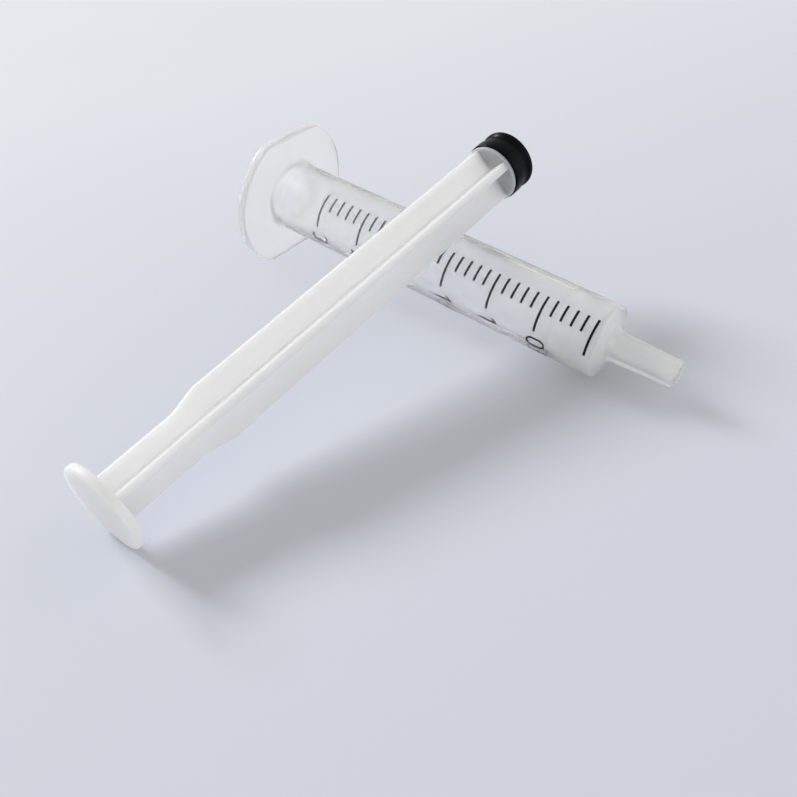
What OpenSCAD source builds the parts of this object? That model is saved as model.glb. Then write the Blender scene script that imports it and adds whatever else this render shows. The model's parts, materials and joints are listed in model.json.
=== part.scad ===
// Three-piece luer slip syringe, 3 ml, apart as photographed: the barrel lies on
// the table and the drawn-out plunger lies across it, thumb disc on the table.
// Millimetres, +Z up. The origin is the centre of the luer tip's open end, and
// the barrel runs from there towards -X.

/* [Barrel] */
// bore that the stopper seals against
bore_d = 9; // [6:0.1:16]
// wall of the barrel
barrel_wall = 0.9; // [0.6:0.05:2]
// straight bore, from the zero line to the mouth
bore_len = 58.5; // [40:0.5:110]
// lead-in at the mouth of the bore
mouth_chamfer = 0.5; // [0.1:0.05:0.8]
// rounding of the barrel's front edge
front_edge = 0.6; // [0.2:0.1:1]
// wall between the shoulder and the end of the bore
end_wall = 1.1; // [0.8:0.1:3]

/* [Finger flange] */
// finger flange across its round sides
flange_d = 23; // [18:0.5:40]
// finger flange across its two flats, one of which stands on the table
flange_flats = 20.4; // [14:0.2:36]
// thickness of the finger flange
flange_t = 1.6; // [1:0.1:3]
// fillet where the flange leaves the barrel
flange_fillet = 0.8; // [0.2:0.1:1.5]

/* [Luer tip] */
// outside of the tip at its open end
tip_end_d = 3.97; // [3.9:0.01:4.1]
// luer taper: growth of the diameter per unit of length
tip_taper = 0.06; // [0.03:0.01:0.1]
// tip from its open end to its root fillet
tip_len = 8.7; // [6:0.1:12]
// root fillet between the tip and the shoulder
tip_fillet = 1.2; // [0.4:0.1:1.8]
// rise of the shoulder from the root fillet to the barrel's front edge
shoulder_rise = 0.4; // [0.2:0.1:3]
// fluid passage through the tip
lumen_d = 2.2; // [1:0.1:2.6]

/* [Plunger] */
// plunger from its thumb face to the seat of the stopper
plunger_len = 74.5; // [60:0.1:140]
// thumb disc
thumb_d = 12.2; // [10:0.1:20]
// thickness of the thumb disc
thumb_t = 1.3; // [1:0.1:3]
// thickness of the four ribs
rib_t = 1.2; // [0.8:0.1:2]
// gap between the ribs and the bore
rib_gap = 0.5; // [0.2:0.05:1]
// narrow stretch of the ribs behind the thumb disc, across
waist_d = 6.2; // [4:0.1:9]
// narrow stretch of the ribs, along
waist_len = 12; // [4:0.5:30]
// stretch over which the ribs widen
flare_len = 4.5; // [1:0.5:10]
// gap between the front disc and the bore
guide_gap = 0.2; // [0.1:0.05:0.6]
// thickness of the front disc
guide_t = 0.5; // [0.4:0.1:2]

/* [Barb and stopper] */
// neck of the barb that holds the stopper
barb_neck_d = 3.4; // [2:0.1:5]
// length of that neck
barb_neck_len = 1.2; // [0.8:0.1:2]
// barb at its widest
barb_d = 5; // [3:0.1:7]
// length of the barb
barb_len = 1.6; // [1:0.1:2.5]
// gap between the stopper and the plunger
fit_gap = 0.05; // [0.02:0.01:0.1]
// gap between the stopper's ribs and the bore
seal_gap = 0.02; // [0.01:0.01:0.05]
// stopper from its seat to its front edge
stopper_len = 4.2; // [3.5:0.1:9]
// depth of the groove between the sealing ribs
groove_depth = 0.35; // [0.1:0.05:0.8]
// width of that groove
groove_w = 1.6; // [0.4:0.1:2]
// width of the sealing rib in front of that groove
front_rib_w = 0.8; // [0.5:0.1:1.8]
// height of the cone on the stopper's nose, and of its seat in the barrel
nose_rise = 1; // [0.4:0.1:3]

/* [Layout] */
// how the plunger is laid out
arrangement = "laid across"; // [laid across, in barrel]
// crossing of the plunger and the barrel, from the zero line
cross_at = 27.3; // [15:0.1:45]
// plunger between its thumb face and the crossing
cross_reach = 61.8; // [40:0.1:66]
// turn of the plunger from square to the barrel, degrees
cross_yaw = -1.8; // [-15:0.1:15]
// gap between the plunger's ribs and the barrel that they lie on
rest_gap = 0.05; // [0.02:0.01:0.2]
// stopper's distance from the zero line when it is in the barrel
plunger_draw = 30; // [0:0.5:50]

/* [Hidden] */
$fn = 96;

bore_r = bore_d / 2;
barrel_r = bore_r + barrel_wall;
lumen_r = lumen_d / 2;
tip_edge = 0.15;
tip_end_r = tip_end_d / 2;
tip_root_r = tip_end_r + tip_taper / 2 * (tip_len - tip_edge);
shoulder_z = tip_len + tip_fillet + shoulder_rise;
edge_z = shoulder_z + front_edge;
zero_z = shoulder_z + end_wall;
mouth_z = zero_z + bore_len;
flange_z = mouth_z - flange_t;
flange_edge = flange_t * 0.3;

thumb_r = thumb_d / 2;
thumb_edge = thumb_t * 0.35;
rib_r = bore_r - rib_gap;
guide_r = bore_r - guide_gap;
guide_edge = guide_t * 0.2;
waist_end = thumb_t + waist_len;
barb_end = barb_neck_len + barb_len;
barb_tip_r = barb_neck_d / 2;

seal_r = bore_r - seal_gap;
seal_edge = 0.35;
groove_z = stopper_len - front_rib_w - groove_w;
nose_tip_r = lumen_r * 0.8;

// The barrel lies on its front edge and on the flange's lower flat.
front_run = flange_z - edge_z;
front_drop = flange_flats / 2 - barrel_r + front_edge;
tilt = atan2(front_drop, front_run) - asin(front_edge / norm([front_run, front_drop]));
tip_height = (barrel_r - front_edge) * cos(tilt) + front_edge - edge_z * sin(tilt);

// The plunger lies on two ribs' corners and on the rim of its thumb disc.
cross_z = zero_z + cross_at;
rest_d = barrel_r + (rib_r + rib_t / 2) * sin(45) + rest_gap;
thumb_z = cross_z - cross_reach * sin(cross_yaw);
axis_height = (tip_height + thumb_z * sin(tilt)) / cos(tilt);
lean_run = cross_reach * cos(cross_yaw) - thumb_edge;
lean_drop = rest_d - thumb_r + thumb_edge;
lean = atan2(lean_drop, lean_run) + asin((axis_height - thumb_edge) / norm([lean_run, lean_drop]));

// Points on an arc about a centre, from one angle to another.
function arc(centre, r, from, to, steps = 8) =
    [for (i = [0:steps]) let (a = from + (to - from) * i / steps) centre + r * [cos(a), sin(a)]];

// Half an outline and its mirror image in the Y axis.
function both_sides(half) =
    concat(half, [for (i = [len(half) - 1:-1:0]) [-half[i].x, half[i].y]]);

// Barrel's own axis, from the luer tip along Z, laid on the table.
module lay_barrel() {
    rotate([0, tilt - 90, 0])
        children();
}

// Plunger's own axis, from the thumb face along Z, put in its place by the barrel.
module lay_plunger() {
    if (arrangement == "in barrel")
        lay_barrel()
            translate([0, 0, zero_z + plunger_draw + stopper_len + fit_gap + plunger_len])
                rotate([180, 0, 0])
                    children();
    else
        lay_barrel()
            translate([0, 0, cross_z])
                rotate([0, 0, -lean])
                    translate([rest_d, 0, 0])
                        rotate([cross_yaw - 90, 0, 0])
                            translate([0, 0, -cross_reach])
                                rotate([0, 0, 45])
                                    children();
}

// Tube, shoulder and luer tip turned as one wall.
module tube() {
    rotate_extrude()
        polygon(concat(
            [[lumen_r, 0]],
            arc([tip_end_r - tip_edge, tip_edge], tip_edge, -90, 0),
            arc([tip_root_r + tip_fillet, tip_len], tip_fillet, 180, 90),
            arc([barrel_r - front_edge, edge_z], front_edge, -90, 0),
            arc([barrel_r + flange_fillet, flange_z - flange_fillet], flange_fillet, 180, 90),
            [[barrel_r + flange_fillet, mouth_z],
             [bore_r + mouth_chamfer, mouth_z],
             [bore_r, mouth_z - mouth_chamfer],
             [bore_r, zero_z],
             [lumen_r, zero_z - nose_rise]]));
}

// Round finger flange with a soft rim, cut flat above and below.
module flange() {
    rim_r = flange_d / 2 - flange_edge;
    intersection() {
        rotate_extrude()
            polygon(concat(
                [[barrel_r, flange_z]],
                arc([rim_r, flange_z + flange_edge], flange_edge, -90, 0),
                arc([rim_r, mouth_z - flange_edge], flange_edge, 0, 90),
                [[barrel_r, mouth_z]]));
        translate([-flange_flats / 2, -flange_d, 0])
            cube([flange_flats, 2 * flange_d, mouth_z + flange_t]);
    }
}

module barrel() {
    color([0.88, 0.9, 0.92, 0.4])
        lay_barrel() {
            tube();
            flange();
        }
}

// Thumb disc with a soft rim.
module thumb_disc() {
    rim_r = thumb_r - thumb_edge;
    rotate_extrude()
        polygon(concat(
            [[0, 0]],
            arc([rim_r, thumb_edge], thumb_edge, -90, 0),
            arc([rim_r, thumb_t - thumb_edge], thumb_edge, 0, 90),
            [[0, thumb_t]]));
}

// Crossed ribs, narrow behind the thumb disc and then as wide as the bore lets them be.
module ribs() {
    outline = both_sides([
        [waist_d / 2, thumb_t / 2],
        [waist_d / 2, waist_end],
        [rib_r, waist_end + flare_len],
        [rib_r, plunger_len - guide_t / 2]]);
    for (turn = [0, 90])
        rotate([90, 0, turn])
            linear_extrude(rib_t, center = true)
                polygon(outline);
}

// Front disc that guides the plunger, and the barb that holds the stopper.
module front_end() {
    rotate_extrude()
        polygon([
            [0, plunger_len - guide_t],
            [guide_r - guide_edge, plunger_len - guide_t],
            [guide_r, plunger_len - guide_t + guide_edge],
            [guide_r, plunger_len - guide_edge],
            [guide_r - guide_edge, plunger_len],
            [barb_neck_d / 2, plunger_len],
            [barb_neck_d / 2, plunger_len + barb_neck_len],
            [barb_d / 2, plunger_len + barb_neck_len],
            [barb_tip_r, plunger_len + barb_end],
            [0, plunger_len + barb_end]]);
}

module plunger() {
    color([0.94, 0.94, 0.93])
        lay_plunger() {
            thumb_disc();
            ribs();
            front_end();
        }
}

// Rubber stopper: two sealing ribs, a groove, a cone nose and a pocket for the barb.
module stopper() {
    pocket_z = barb_neck_len - 2 * fit_gap;
    groove_slope = groove_depth * 0.6;
    color([0.08, 0.08, 0.09])
        lay_plunger()
            translate([0, 0, plunger_len + fit_gap])
                rotate_extrude()
                    polygon(concat(
                        [[barb_neck_d / 2 + fit_gap, 0]],
                        arc([seal_r - seal_edge, seal_edge], seal_edge, -90, 0),
                        [[seal_r, groove_z],
                         [seal_r - groove_depth, groove_z + groove_slope],
                         [seal_r - groove_depth, groove_z + groove_w - groove_slope],
                         [seal_r, groove_z + groove_w]],
                        arc([seal_r - seal_edge, stopper_len - seal_edge], seal_edge, 0, 90),
                        [[nose_tip_r, stopper_len + nose_rise],
                         [0, stopper_len + nose_rise],
                         [0, barb_end],
                         [barb_tip_r + fit_gap, barb_end],
                         [barb_d / 2 + fit_gap, pocket_z],
                         [barb_neck_d / 2 + fit_gap, pocket_z]]));
}

barrel();
plunger();
stopper();
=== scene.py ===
import json
import math

import bmesh
import bpy
from mathutils import Euler, Matrix, Vector


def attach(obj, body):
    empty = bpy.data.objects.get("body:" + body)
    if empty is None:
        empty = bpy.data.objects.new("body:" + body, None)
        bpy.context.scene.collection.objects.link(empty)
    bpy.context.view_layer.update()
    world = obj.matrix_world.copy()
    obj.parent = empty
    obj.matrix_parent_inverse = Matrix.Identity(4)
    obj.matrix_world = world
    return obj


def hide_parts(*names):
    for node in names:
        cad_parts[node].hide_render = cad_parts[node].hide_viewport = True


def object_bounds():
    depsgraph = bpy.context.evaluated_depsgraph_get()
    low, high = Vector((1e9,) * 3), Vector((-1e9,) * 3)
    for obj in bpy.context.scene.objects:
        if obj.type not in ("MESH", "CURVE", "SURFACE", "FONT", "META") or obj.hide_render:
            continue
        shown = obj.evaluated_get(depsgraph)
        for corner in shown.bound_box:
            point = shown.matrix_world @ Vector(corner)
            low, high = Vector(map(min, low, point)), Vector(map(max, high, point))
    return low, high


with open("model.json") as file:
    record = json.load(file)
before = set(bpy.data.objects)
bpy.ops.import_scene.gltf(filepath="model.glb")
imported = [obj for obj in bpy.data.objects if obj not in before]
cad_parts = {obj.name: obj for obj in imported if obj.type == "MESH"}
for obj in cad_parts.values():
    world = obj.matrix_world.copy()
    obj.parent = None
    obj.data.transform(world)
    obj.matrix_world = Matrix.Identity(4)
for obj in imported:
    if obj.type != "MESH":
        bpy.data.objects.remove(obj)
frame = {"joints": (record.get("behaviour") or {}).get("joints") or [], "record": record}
cad_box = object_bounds()
mounts = {mount["name"]: mount for mount in frame["record"]["mounts"]}
joints = {joint["name"]: joint for joint in frame["joints"]}

# Sizes of the barrel, in millimetres
BORE_R = mounts["barrel_bore"]["dims"]["r_mm"]
LUMEN_R = mounts["lumen"]["dims"]["r_mm"]
WALL_T = 0.9
MOUTH_CHAMFER = 0.5
FRONT_EDGE = 0.6
END_WALL = 1.1
BORE_LEN = 58.5
FLANGE_R = 11.5
FLANGE_HALF_FLATS = 10.2
FLANGE_T = 1.6
FLANGE_EDGE = 0.48
FLANGE_FILLET = 0.8
TIP_END_R = 1.985
TIP_EDGE = 0.15
TIP_TAPER = 0.06
TIP_LEN = 8.7
TIP_FILLET = 1.2
SHOULDER_RISE = 0.4
NOSE_RISE = 1.0

# Sizes of the plunger
PLUNGER_LEN = 74.5
THUMB_R = 6.1
THUMB_T = 1.3
THUMB_EDGE = 0.45
RIB_T = 1.2
RIB_R = 4.0
RIB_ROUND = 0.1
RIB_ROOT = 0.3
WAIST_R = 3.1
WAIST_LEN = 12.0
FLARE_LEN = 4.5
GUIDE_R = 4.3
GUIDE_T = 0.5
GUIDE_EDGE = 0.1
BARB_NECK_R = 1.7
BARB_NECK_LEN = 1.2
BARB_R = 2.5
BARB_LEN = 1.6

# Sizes of the stopper
FIT_GAP = 0.05
SEAL_R = 4.48
SEAL_EDGE = 0.35
STOPPER_LEN = 4.2
GROOVE_DEPTH = 0.35
GROOVE_W = 1.6
GROOVE_FLOOR_W = 0.64
GROOVE_EDGE = 0.18
FRONT_RIB_W = 0.8
NOSE_TIP_R = 0.88
NOSE_EDGE = 0.175

# Printed scale: angles in degrees from the barrel's crest, advances as shares of the numerals' height
STEP_ML = 0.1
CUBIC_MM_PER_ML = 1000
STEPS = 30
STEPS_PER_LONG_MARK = 5
MARK_W = 0.36
MARK_TOP_ANGLE = -27
SHORT_MARK_ANGLE = -53
LONG_MARK_ANGLE = -84
NUMERAL_ANGLE = -96
NUMERAL_SHIFT = -0.5
NUMERAL_H = 2.7
NUMERAL_W = 0.32
DIGIT_ADVANCE = 0.72
POINT_ADVANCE = 0.3
INK_T = 0.02
INK_SINK = 0.01
INK_STEP = 0.3
SHARPEST_MITRE = 0.65

# Derived sizes, with places along the barrel from the tip and along the plunger from the thumb face
BARREL_R = BORE_R + WALL_T
TIP_ROOT_R = TIP_END_R + TIP_TAPER / 2 * (TIP_LEN - TIP_EDGE)
SHOULDER_Z = TIP_LEN + TIP_FILLET + SHOULDER_RISE
ZERO_Z = SHOULDER_Z + END_WALL
MOUTH_Z = ZERO_Z + BORE_LEN
FLANGE_Z = MOUTH_Z - FLANGE_T
WAIST_END = THUMB_T + WAIST_LEN
STEP_LEN = STEP_ML * CUBIC_MM_PER_ML / (math.pi * BORE_R ** 2)

# Metres in a millimetre, sides of a round shape, and the angle in degrees from which an edge is crisp
MM = 0.001
ROUND_STEPS = 192
SHARP_ANGLE = 35


def axes(x, z, origin):
    """Placement with the given X and Z directions, from millimetres to the frame's metres."""
    y = z.cross(x)
    turn = Matrix((x, y, z)).transposed()
    return Matrix.Translation(origin) @ turn.to_4x4() @ Matrix.Scale(MM, 4)


# The barrel's X points up from the table
to_mouth = -Vector(mounts["lumen"]["axis"])
barrel_up = Vector((0, 1, 0)).cross(to_mouth).normalized()
barrel_place = axes(barrel_up, to_mouth, Vector(mounts["lumen"]["pos_m"]))

# The plunger lies on two of its ribs, so its X is turned by 45 degrees
to_stopper = Vector(joints["plunger_stroke"]["axis"]).normalized()
off_barrel = to_mouth.cross(to_stopper).normalized()
off_barrel *= math.copysign(1, off_barrel.z)
rib_side = Matrix.Rotation(math.radians(45), 3, to_stopper) @ off_barrel
plunger_place = axes(rib_side, to_stopper, Vector(mounts["thumb_face"]["pos_m"]))


def arc(centre, radius, start, end, steps=10):
    """Points of a round corner in a profile, from one angle in degrees to another."""
    angles = [math.radians(start + (end - start) * i / steps) for i in range(steps + 1)]
    return [(centre[0] + radius * math.cos(a), centre[1] + radius * math.sin(a)) for a in angles]


def add_piece(name, mesh_data, material, body, node=None):
    """Links a mesh as a piece that rides on a body and may stand for a node."""
    piece = bpy.data.objects.new(name, mesh_data)
    bpy.context.scene.collection.objects.link(piece)
    mesh_data.materials.clear()
    mesh_data.materials.append(material)
    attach(piece, body)
    if node:
        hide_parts(node)


def finish_mesh(name, shape, place):
    """Turns a bmesh in millimetres into a placed mesh with smooth round faces and crisp edges."""
    bmesh.ops.recalc_face_normals(shape, faces=shape.faces)
    shape.transform(place)
    data = bpy.data.meshes.new(name)
    shape.to_mesh(data)
    shape.free()
    data.shade_smooth()
    data.set_sharp_from_angle(angle=math.radians(SHARP_ANGLE))
    return data


def bridge(shape, low, high):
    """Faces between two rings of as many points."""
    count = len(low)
    for i in range(count):
        k = (i + 1) % count
        shape.faces.new((low[i], low[k], high[k], high[i]))


def lathe(profile, closed=False, reach=None):
    """Turns a profile of (radius, height) about Z. reach gives a radius that varies with the angle."""
    shape = bmesh.new()
    columns = []
    for step in range(ROUND_STEPS):
        angle = 2 * math.pi * step / ROUND_STEPS
        column = []
        for i, (r, z) in enumerate(profile):
            if r == 0 and columns:
                column.append(columns[0][i])
                continue
            if reach:
                r = reach(r, z, angle)
            column.append(shape.verts.new((r * math.cos(angle), r * math.sin(angle), z)))
        columns.append(column)
    rows = len(profile) if closed else len(profile) - 1
    for step in range(ROUND_STEPS):
        here = columns[step]
        there = columns[(step + 1) % ROUND_STEPS]
        for i in range(rows):
            k = (i + 1) % len(profile)
            corners = dict.fromkeys((here[i], there[i], there[k], here[k]))
            shape.faces.new(list(corners))
    return shape


def unite(name, shapes, place):
    """One closed mesh from several that overlap."""
    parts = []
    for shape in shapes:
        data = finish_mesh(name, shape, Matrix.Identity(4))
        part = bpy.data.objects.new(name, data)
        bpy.context.scene.collection.objects.link(part)
        parts.append(part)
    whole = parts[0]
    for part in parts[1:]:
        union = whole.modifiers.new("union", "BOOLEAN")
        union.operation = "UNION"
        union.solver = "EXACT"
        union.object = part
    graph = bpy.context.evaluated_depsgraph_get()
    united = bmesh.new()
    united.from_mesh(whole.evaluated_get(graph).to_mesh())
    for part in parts:
        bpy.data.objects.remove(part)
    return finish_mesh(name, united, place)


def new_material(name):
    """A material, its shader and its node tree."""
    material = bpy.data.materials.new(name)
    material.use_nodes = True
    tree = material.node_tree
    return material, tree.nodes["Principled BSDF"], tree


def noise(tree, scale):
    """Noise in object space from 0 to 1, where scale is in waves per metre."""
    usual_low = 0.3
    usual_high = 0.7
    place = tree.nodes.new("ShaderNodeTexCoord")
    field = tree.nodes.new("ShaderNodeTexNoise")
    field.inputs["Scale"].default_value = scale
    field.inputs["Detail"].default_value = 3.0
    tree.links.new(place.outputs["Object"], field.inputs["Vector"])
    return spread(tree, field.outputs["Fac"], 0, 1, usual_low, usual_high)


def along(tree, direction, start, end):
    """Share from 0 to 1 of the way between two distances in metres along a direction."""
    place = tree.nodes.new("ShaderNodeTexCoord")
    run = tree.nodes.new("ShaderNodeVectorMath")
    run.operation = "DOT_PRODUCT"
    run.inputs[1].default_value = direction
    tree.links.new(place.outputs["Object"], run.inputs[0])
    return spread(tree, run.outputs["Value"], 0, 1, start, end)


def from_axis(tree, place, start, end):
    """Share from 0 to 1 of the way between two distances in metres from the Z axis of a placement."""
    position = tree.nodes.new("ShaderNodeTexCoord")
    offset = tree.nodes.new("ShaderNodeVectorMath")
    offset.operation = "SUBTRACT"
    offset.inputs[1].default_value = place.translation
    across = tree.nodes.new("ShaderNodeVectorMath")
    across.operation = "CROSS_PRODUCT"
    across.inputs[1].default_value = place.col[2].to_3d().normalized()
    distance = tree.nodes.new("ShaderNodeVectorMath")
    distance.operation = "LENGTH"
    tree.links.new(position.outputs["Object"], offset.inputs[0])
    tree.links.new(offset.outputs["Vector"], across.inputs[0])
    tree.links.new(across.outputs["Vector"], distance.inputs[0])
    return spread(tree, distance.outputs["Value"], 0, 1, start, end)


def spread(tree, field, low, high, start=0.0, end=1.0):
    """Maps a field that runs from start to end to a range of values."""
    mapped = tree.nodes.new("ShaderNodeMapRange")
    mapped.inputs["From Min"].default_value = start
    mapped.inputs["From Max"].default_value = end
    mapped.inputs["To Min"].default_value = low
    mapped.inputs["To Max"].default_value = high
    tree.links.new(field, mapped.inputs["Value"])
    return mapped.outputs["Result"]


def tint(tree, field, *stops):
    """Maps a field to colours that are given as (share, colour) stops."""
    ramp = tree.nodes.new("ShaderNodeValToRGB")
    elements = ramp.color_ramp.elements
    while len(elements) < len(stops):
        elements.new(1)
    for element, (share, colour) in zip(elements, stops):
        element.position = share
        element.color = (*colour, 1)
    tree.links.new(field, ramp.inputs["Fac"])
    return ramp.outputs["Color"]


def between(tree, share, one, other):
    """Mixes a fixed colour with a field of colours, by the share of the field."""
    mix = tree.nodes.new("ShaderNodeMix")
    mix.data_type = "RGBA"
    mix.inputs["A"].default_value = (*one, 1)
    tree.links.new(share, mix.inputs["Factor"])
    tree.links.new(other, mix.inputs["B"])
    return mix.outputs["Result"]


def product(tree, one, other):
    """Product of two colours."""
    times = tree.nodes.new("ShaderNodeVectorMath")
    times.operation = "MULTIPLY"
    tree.links.new(one, times.inputs[0])
    tree.links.new(other, times.inputs[1])
    return times.outputs["Vector"]


def ripple(tree, shader, field, strength, distance):
    """Bumps the surface by a field, distance in metres."""
    bump = tree.nodes.new("ShaderNodeBump")
    bump.inputs["Strength"].default_value = strength
    bump.inputs["Distance"].default_value = distance
    tree.links.new(field, bump.inputs["Height"])
    tree.links.new(bump.outputs["Normal"], shader.inputs["Normal"])


def grey(level):
    """Colour of a grey level."""
    return (level, level, level)


def along_barrel(tree, tip, tube, mouth, flange):
    """Grey level along the barrel: that of the tip and shoulder, the tube, its mouth and the flange."""
    tube_start = 1.5 * ZERO_Z / MOUTH_Z
    tube_end = 0.55
    mouth_start = 0.94
    share = along(tree, to_mouth, 0, MOUTH_Z * MM)
    return tint(
        tree, share,
        (SHOULDER_Z / MOUTH_Z, grey(tip)),
        (tube_start, grey(tube)),
        (tube_end, grey(tube)),
        (mouth_start, grey(mouth)),
        (FLANGE_Z / MOUTH_Z, grey(flange)),
    )


def let_light_through(tree, shader):
    """Lets the lamp and light bounced off the table pass, so that clear plastic casts a pale shadow."""
    rays = tree.nodes.new("ShaderNodeLightPath")
    either = tree.nodes.new("ShaderNodeMath")
    either.operation = "MAXIMUM"
    passing = tree.nodes.new("ShaderNodeBsdfTransparent")
    mix = tree.nodes.new("ShaderNodeMixShader")
    share = along_barrel(tree, tip=0.80, tube=0.95, mouth=0.97, flange=0.97)
    tree.links.new(share, passing.inputs["Color"])
    tree.links.new(rays.outputs["Is Shadow Ray"], either.inputs[0])
    tree.links.new(rays.outputs["Is Diffuse Ray"], either.inputs[1])
    tree.links.new(either.outputs["Value"], mix.inputs["Fac"])
    tree.links.new(shader.outputs["BSDF"], mix.inputs[1])
    tree.links.new(passing.outputs["BSDF"], mix.inputs[2])
    tree.links.new(mix.outputs["Shader"], tree.nodes["Material Output"].inputs["Surface"])


def clear_plastic():
    """Clear plastic with a slight haze, milkier where it is thick: at the tip and in the flange."""
    material, shader, tree = new_material("clear_plastic")
    shader.inputs["IOR"].default_value = 1.49
    shader.inputs["Subsurface Weight"].default_value = 1.0
    shader.inputs["Subsurface Radius"].default_value = (1.0, 1.0, 1.0)
    shader.inputs["Subsurface Scale"].default_value = 4 * MM
    haze = tint(tree, noise(tree, 300), (0, (0.978, 0.984, 0.992)), (1, (0.992, 0.996, 1.0)))
    level = along_barrel(tree, tip=0.91, tube=1.0, mouth=1.0, flange=1.0)
    tree.links.new(product(tree, haze, level), shader.inputs["Base Color"])
    clearness = along_barrel(tree, tip=0.56, tube=0.89, mouth=0.88, flange=0.64)
    tree.links.new(clearness, shader.inputs["Transmission Weight"])
    frost = tint(tree, noise(tree, 900), (0, grey(0.85)), (1, grey(1.0)))
    dullness = along_barrel(tree, tip=0.20, tube=0.19, mouth=0.16, flange=0.12)
    tree.links.new(product(tree, frost, dullness), shader.inputs["Roughness"])
    ripple(tree, shader, noise(tree, 450), strength=0.05, distance=0.05 * MM)
    let_light_through(tree, shader)
    return material


def white_plastic():
    """Milky plastic with painted light and shade across the ribs: lighter at their roots, where the
    corners between them are in shade, and darker at their thin edges, which glow with light from both
    sides.
    """
    material, shader, tree = new_material("white_plastic")
    shader.inputs["Subsurface Weight"].default_value = 1.0
    shader.inputs["Subsurface Radius"].default_value = (1.0, 0.97, 0.94)
    shader.inputs["Subsurface Scale"].default_value = 5 * MM
    shader.inputs["Specular IOR Level"].default_value = 0.3
    cloud = tint(tree, noise(tree, 200), (0, (0.865, 0.865, 0.868)), (1, (0.89, 0.89, 0.893)))
    # Painted light and shade: the ribs are lighter at their roots, where the corners are in shade, and
    # darker towards their edges.
    painted_rib_light_share = from_axis(tree, plunger_place, RIB_T / 2 * MM, RIB_R * MM)
    ribs = tint(tree, painted_rib_light_share, (0, grey(1.0)), (1, grey(0.74)))
    thumb = grey(0.86)
    thumb_end = plunger_place.translation.dot(to_stopper) + THUMB_T * MM
    on_ribs = along(tree, to_stopper, thumb_end, thumb_end + THUMB_T / 2 * MM)
    milk_and_painted_rib_light = product(tree, cloud, between(tree, on_ribs, thumb, ribs))
    tree.links.new(milk_and_painted_rib_light, shader.inputs["Base Color"])
    tree.links.new(spread(tree, noise(tree, 1200), 0.42, 0.54), shader.inputs["Roughness"])
    ripple(tree, shader, noise(tree, 2500), strength=0.2, distance=0.02 * MM)
    return material


def black_rubber():
    """Black rubber with a faint bloom and a thin film of lubricant."""
    material, shader, tree = new_material("black_rubber")
    shader.inputs["Specular IOR Level"].default_value = 0.07
    bloom = tint(tree, noise(tree, 800), (0, (0.0018, 0.0027, 0.0044)), (1, (0.0036, 0.0047, 0.0066)))
    tree.links.new(bloom, shader.inputs["Base Color"])
    tree.links.new(spread(tree, noise(tree, 1500), 0.26, 0.36), shader.inputs["Roughness"])
    ripple(tree, shader, noise(tree, 3000), strength=0.25, distance=0.03 * MM)
    return material


def printed_ink():
    """Black ink, thinner towards the mouth."""
    material, shader, tree = new_material("printed_ink")
    shader.inputs["Specular IOR Level"].default_value = 0.1
    share = along(tree, to_mouth, ZERO_Z * MM, MOUTH_Z * MM)
    fade = tint(tree, share, (0.06, (0.005, 0.005, 0.007)), (1, (0.36, 0.36, 0.365)))
    patchy = tint(tree, noise(tree, 2000), (0, grey(0.6)), (1, grey(1.0)))
    tree.links.new(product(tree, fade, patchy), shader.inputs["Base Color"])
    tree.links.new(spread(tree, noise(tree, 3000), 0.40, 0.55), shader.inputs["Roughness"])
    return material


def tabletop():
    """Pale matt table with painted light: a little lighter towards the left and the back."""
    painted_light_way = (-0.94, 0.34, 0)
    dark_end = -0.06
    light_end = 0.15
    material, shader, tree = new_material("tabletop")
    shader.inputs["Specular IOR Level"].default_value = 0.1
    # Painted light: the table's colour grows lighter towards the left and the back.
    share = along(tree, painted_light_way, dark_end, light_end)
    painted_light_slope = tint(tree, share, (0, (0.650, 0.678, 0.772)), (1, (0.780, 0.809, 0.855)))
    cloud = tint(tree, noise(tree, 8), (0, grey(0.985)), (1, grey(1.0)))
    tree.links.new(product(tree, painted_light_slope, cloud), shader.inputs["Base Color"])
    tree.links.new(spread(tree, noise(tree, 60), 0.55, 0.65), shader.inputs["Roughness"])
    return material


clear = clear_plastic()
white = white_plastic()
rubber = black_rubber()
ink = printed_ink()


def flange_reach(r, z, angle):
    """Radius of the barrel's profile at an angle, where the flange is cut by its two flats."""
    inner = BARREL_R + FLANGE_FILLET
    if r <= inner or z < FLANGE_Z - FLANGE_FILLET:
        return r
    across = abs(math.cos(angle))
    rim = min(FLANGE_R, FLANGE_HALF_FLATS / across) if across > 0 else FLANGE_R
    return inner + (r - inner) * (rim - inner) / (FLANGE_R - inner)


def make_barrel():
    """Slip tip, shoulder, tube and flange in one wall, with the bore and the lumen inside."""
    rim = FLANGE_R - FLANGE_EDGE
    edge_z = SHOULDER_Z + FRONT_EDGE
    profile = [
        (LUMEN_R, 0),
        *arc((TIP_END_R - TIP_EDGE, TIP_EDGE), TIP_EDGE, -90, 0),
        *arc((TIP_ROOT_R + TIP_FILLET, TIP_LEN), TIP_FILLET, 180, 90),
        *arc((BARREL_R - FRONT_EDGE, edge_z), FRONT_EDGE, -90, 0),
        *arc((BARREL_R + FLANGE_FILLET, FLANGE_Z - FLANGE_FILLET), FLANGE_FILLET, 180, 90),
        *arc((rim, FLANGE_Z + FLANGE_EDGE), FLANGE_EDGE, -90, 0),
        *arc((rim, MOUTH_Z - FLANGE_EDGE), FLANGE_EDGE, 0, 90),
        (BORE_R + MOUTH_CHAMFER, MOUTH_Z),
        (BORE_R, MOUTH_Z - MOUTH_CHAMFER),
        (BORE_R, ZERO_Z),
        (LUMEN_R, ZERO_Z - NOSE_RISE),
    ]
    shape = lathe(profile, closed=True, reach=flange_reach)
    data = finish_mesh("clear_barrel", shape, barrel_place)
    add_piece("clear_barrel", data, clear, "barrel", "barrel")


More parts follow.
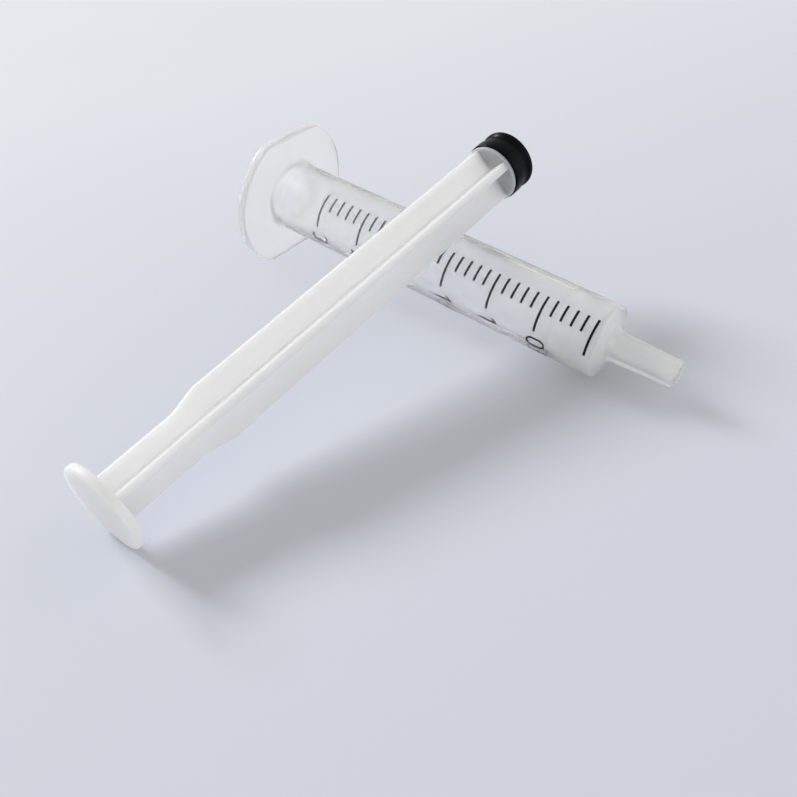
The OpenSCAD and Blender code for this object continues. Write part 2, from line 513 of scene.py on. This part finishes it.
def cross_section(reach):
    """Outline of the four crossed ribs with rounded outer edges and filleted roots."""
    half = RIB_T / 2
    corner = half + RIB_ROOT
    quarter = [
        *arc((reach - RIB_ROUND, half - RIB_ROUND), RIB_ROUND, 0, 90, steps=4),
        *arc((corner, corner), RIB_ROOT, 270, 180, steps=4),
        *arc((half - RIB_ROUND, reach - RIB_ROUND), RIB_ROUND, 0, 90, steps=4),
    ]
    points = []
    for turn in range(4):
        c = round(math.cos(turn * math.pi / 2))
        s = round(math.sin(turn * math.pi / 2))
        points += [(x * c - y * s, x * s + y * c) for x, y in quarter]
    return points


def rib_cross():
    """Crossed ribs, narrow behind the thumb disc and then as wide as the bore lets them be."""
    flare_steps = 8
    straight = 0.7
    sections = [(THUMB_T / 2, WAIST_R)]
    for i in range(flare_steps + 1):
        share = i / flare_steps
        smooth = share * share * (3 - 2 * share)
        eased = straight * share + (1 - straight) * smooth
        sections.append((WAIST_END + FLARE_LEN * share, WAIST_R + (RIB_R - WAIST_R) * eased))
    sections.append((PLUNGER_LEN - GUIDE_T / 2, RIB_R))
    shape = bmesh.new()
    rings = [[shape.verts.new((x, y, z)) for x, y in cross_section(reach)] for z, reach in sections]
    for low, high in zip(rings, rings[1:]):
        bridge(shape, low, high)
    shape.faces.new(rings[0][::-1])
    shape.faces.new(rings[-1])
    return shape


def thumb_disc():
    """Disc with a round rim."""
    rim = THUMB_R - THUMB_EDGE
    return lathe([
        (0, 0),
        *arc((rim, THUMB_EDGE), THUMB_EDGE, -90, 0),
        *arc((rim, THUMB_T - THUMB_EDGE), THUMB_EDGE, 0, 90),
        (0, THUMB_T),
    ])


def front_end():
    """Front disc with the barb that holds the stopper."""
    rim = GUIDE_R - GUIDE_EDGE
    barb_z = PLUNGER_LEN + BARB_NECK_LEN
    return lathe([
        (0, PLUNGER_LEN - GUIDE_T),
        *arc((rim, PLUNGER_LEN - GUIDE_T + GUIDE_EDGE), GUIDE_EDGE, -90, 0),
        *arc((rim, PLUNGER_LEN - GUIDE_EDGE), GUIDE_EDGE, 0, 90),
        (BARB_NECK_R, PLUNGER_LEN),
        (BARB_NECK_R, barb_z),
        (BARB_R, barb_z),
        (BARB_NECK_R, barb_z + BARB_LEN),
        (0, barb_z + BARB_LEN),
    ])


def make_plunger():
    """One moulding of crossed ribs, thumb disc and front end."""
    data = unite("white_plunger", [rib_cross(), thumb_disc(), front_end()], plunger_place)
    add_piece("white_plunger", data, white, "plunger", "plunger")


def make_stopper():
    """Two sealing ribs with a groove, a cone nose and a pocket that fits the barb."""
    seat = PLUNGER_LEN + FIT_GAP
    groove_z = STOPPER_LEN - FRONT_RIB_W - GROOVE_W
    groove_mid = groove_z + GROOVE_W / 2
    groove_r = SEAL_R - GROOVE_DEPTH
    edge_r = SEAL_R - GROOVE_EDGE
    pocket_z = BARB_NECK_LEN - 2 * FIT_GAP
    barb_end = BARB_NECK_LEN + BARB_LEN
    nose_z = STOPPER_LEN + NOSE_RISE
    profile = [
        (0, barb_end),
        (BARB_NECK_R + FIT_GAP, barb_end),
        (BARB_R + FIT_GAP, pocket_z),
        (BARB_NECK_R + FIT_GAP, pocket_z),
        (BARB_NECK_R + FIT_GAP, 0),
        *arc((SEAL_R - SEAL_EDGE, SEAL_EDGE), SEAL_EDGE, -90, 0),
        *arc((edge_r, groove_z - GROOVE_EDGE), GROOVE_EDGE, 0, 60, steps=4),
        (groove_r, groove_mid - GROOVE_FLOOR_W / 2),
        (groove_r, groove_mid + GROOVE_FLOOR_W / 2),
        *arc((edge_r, groove_z + GROOVE_W + GROOVE_EDGE), GROOVE_EDGE, -60, 0, steps=4),
        *arc((SEAL_R - SEAL_EDGE, STOPPER_LEN - SEAL_EDGE), SEAL_EDGE, 0, 80),
        *arc((NOSE_TIP_R - NOSE_EDGE, nose_z - NOSE_EDGE), NOSE_EDGE, 75, 90, steps=2),
        (0, nose_z),
    ]
    shape = lathe([(r, z + seat) for r, z in profile])
    data = finish_mesh("rubber_stopper", shape, plunger_place)
    add_piece("rubber_stopper", data, rubber, "stopper", "stopper")


def on_skin(point, lift):
    """Place of a printed point (around, along): arc from the barrel's crest and height from the tip."""
    r = BARREL_R + lift
    angle = point.x / BARREL_R
    return Vector((r * math.cos(angle), r * math.sin(angle), point.y))


def fine_points(line):
    """The line's points with more between them, so that it can bend round the barrel."""
    points = [line[0]]
    for start, end in zip(line, line[1:]):
        count = math.ceil((end - start).length / INK_STEP)
        points += [start.lerp(end, i / count) for i in range(1, count + 1)]
    return points


def stroke(shape, line, width):
    """A thin closed band of ink along a line on the barrel's skin, or round a loop if its ends meet."""
    touching = INK_STEP / 100
    corners = [(-1, -INK_SINK), (1, -INK_SINK), (1, INK_T), (-1, INK_T)]
    points = fine_points([Vector(point) for point in line])
    loop = (points[0] - points[-1]).length < touching
    if loop:
        points.pop()
    count = len(points)
    rings = []
    for i, here in enumerate(points):
        before = points[i - 1] if loop or i > 0 else here
        after = points[(i + 1) % count] if loop or i < count - 1 else here
        way_in = (here - before).normalized()
        way_out = (after - here).normalized()
        way = (way_in + way_out).normalized()
        mitre = max(way.dot(way_in), way.dot(way_out), SHARPEST_MITRE)
        side = Vector((-way.y, way.x)) * width / 2 / mitre
        rings.append([shape.verts.new(on_skin(here + side * s, lift)) for s, lift in corners])
    pairs = list(zip(rings, rings[1:]))
    if loop:
        pairs.append((rings[-1], rings[0]))
    else:
        shape.faces.new(rings[0])
        shape.faces.new(rings[-1])
    for low, high in pairs:
        bridge(shape, low, high)


def make_scale_marks():
    """A line for each step round the barrel, longer at every half millilitre."""
    shape = bmesh.new()
    for step in range(STEPS + 1):
        long_mark = step % STEPS_PER_LONG_MARK == 0
        end_angle = LONG_MARK_ANGLE if long_mark else SHORT_MARK_ANGLE
        height = ZERO_Z + step * STEP_LEN
        line = [(math.radians(angle) * BARREL_R, height) for angle in (MARK_TOP_ANGLE, end_angle)]
        stroke(shape, line, MARK_W)
    data = finish_mesh("scale_marks", shape, barrel_place)
    add_piece("scale_marks", data, ink, "barrel")


def digit_line(digit):
    """Line of a plain digit about 0.55 wide and 1 high, from its left edge and its middle height."""
    steps = 16
    if digit == "0":
        top = arc((0.275, 0.225), 0.275, 0, 180, steps)
        bottom = arc((0.275, -0.225), 0.275, 180, 360, steps)
        return top + bottom + top[:1]
    if digit == "1":
        return [(0.02, 0.25), (0.275, 0.5), (0.275, -0.5)]
    if digit == "2":
        return arc((0.275, 0.235), 0.265, 170, -35, steps) + [(0.02, -0.5), (0.55, -0.5)]
    if digit == "3":
        top = arc((0.265, 0.245), 0.255, 150, -57, steps)
        return top + arc((0.265, -0.245), 0.255, 57, -150, steps)
    if digit == "5":
        return [(0.5, 0.5), (0.08, 0.5)] + arc((0.26, -0.2), 0.29, 140, -145, steps)
    return [(0.08, -0.5), (0.08, -0.38)]


def make_numerals():
    """Whole and half millilitres beside the long marks, with their tops to the tip."""
    shape = bmesh.new()
    for step in range(STEPS_PER_LONG_MARK, STEPS + 1, STEPS_PER_LONG_MARK):
        height = ZERO_Z + step * STEP_LEN + NUMERAL_SHIFT
        start = math.radians(NUMERAL_ANGLE) * BARREL_R
        for digit in f"{step * STEP_ML:g}":
            line = [(start - u * NUMERAL_H, height - v * NUMERAL_H) for u, v in digit_line(digit)]
            stroke(shape, line, NUMERAL_W)
            start -= NUMERAL_H * (POINT_ADVANCE if digit == "." else DIGIT_ADVANCE)
    data = finish_mesh("scale_numerals", shape, barrel_place)
    add_piece("scale_numerals", data, ink, "barrel")


def make_floor():
    """Round table under the lowest point of the object."""
    table_r = 2.5
    centre = (0, 0, cad_box[0].z)
    bpy.ops.mesh.primitive_circle_add(vertices=96, radius=table_r, fill_type="NGON", location=centre)
    floor = bpy.context.object
    floor.name = "tabletop"
    floor.data.materials.append(tabletop())


def make_lamp():
    """A soft window-like lamp from the left, whose light alone shows a white table at lamp_level."""
    lamp_from = Vector((-0.864, -0.045, 0.500)).normalized()
    lamp_distance = 3.0
    lamp_level = 0.375
    middle = (cad_box[0] + cad_box[1]) / 2
    lamp = bpy.data.lights.new("window", "AREA")
    lamp.shape = "ELLIPSE"
    lamp.size = 0.38 * lamp_distance
    lamp.size_y = 0.27 * lamp_distance
    lamp.energy = lamp_level * (math.pi * lamp_distance) ** 2 / lamp_from.z
    lamp.color = (0.93, 0.95, 1.0)
    holder = bpy.data.objects.new("window", lamp)
    holder.location = middle + lamp_from * lamp_distance
    holder.rotation_euler = lamp_from.to_track_quat("Z", "Y").to_euler()
    bpy.context.scene.collection.objects.link(holder)


def make_dome():
    """A dome of light that grows brighter downwards and, a little, to the right and the back."""
    dome_level = 1.05
    brighter = Vector((0.28, 0.12, -0.66))
    low = dome_level - brighter.length
    high = dome_level + brighter.length
    world = bpy.data.worlds.new("dome")
    world.use_nodes = True
    tree = world.node_tree
    sky = tree.nodes["Background"]
    place = tree.nodes.new("ShaderNodeTexCoord")
    towards = tree.nodes.new("ShaderNodeVectorMath")
    towards.operation = "DOT_PRODUCT"
    towards.inputs[1].default_value = brighter.normalized()
    tree.links.new(place.outputs["Generated"], towards.inputs[0])
    tree.links.new(spread(tree, towards.outputs["Value"], low, high, -1, 1), sky.inputs["Strength"])
    sky.inputs["Color"].default_value = (1.0, 0.98, 0.94, 1)
    bpy.context.scene.world = world


def make_camera():
    """Camera at the photograph's viewing angle, for a square picture of 797 pixels."""
    image_px = 797
    focal_px = 932
    at = Vector((30.91, -98.01, 77.27)) * MM
    aim = Vector((-30.18, -21.47, -4.50)) * MM
    roll = math.radians(-1.37)
    data = bpy.data.cameras.new("camera")
    data.sensor_width = 36
    data.lens = data.sensor_width * focal_px / image_px
    data.clip_start = 5 * MM
    camera = bpy.data.objects.new("camera", data)
    camera.location = at
    level = (aim - at).to_track_quat("-Z", "Y")
    camera.rotation_euler = (level @ Euler((0, 0, roll)).to_quaternion()).to_euler()
    bpy.context.scene.collection.objects.link(camera)
    bpy.context.scene.camera = camera


make_barrel()
make_plunger()
make_stopper()
make_scale_marks()
make_numerals()
make_floor()
make_lamp()
make_dome()
make_camera()
bpy.context.scene.view_settings.view_transform = "Standard"
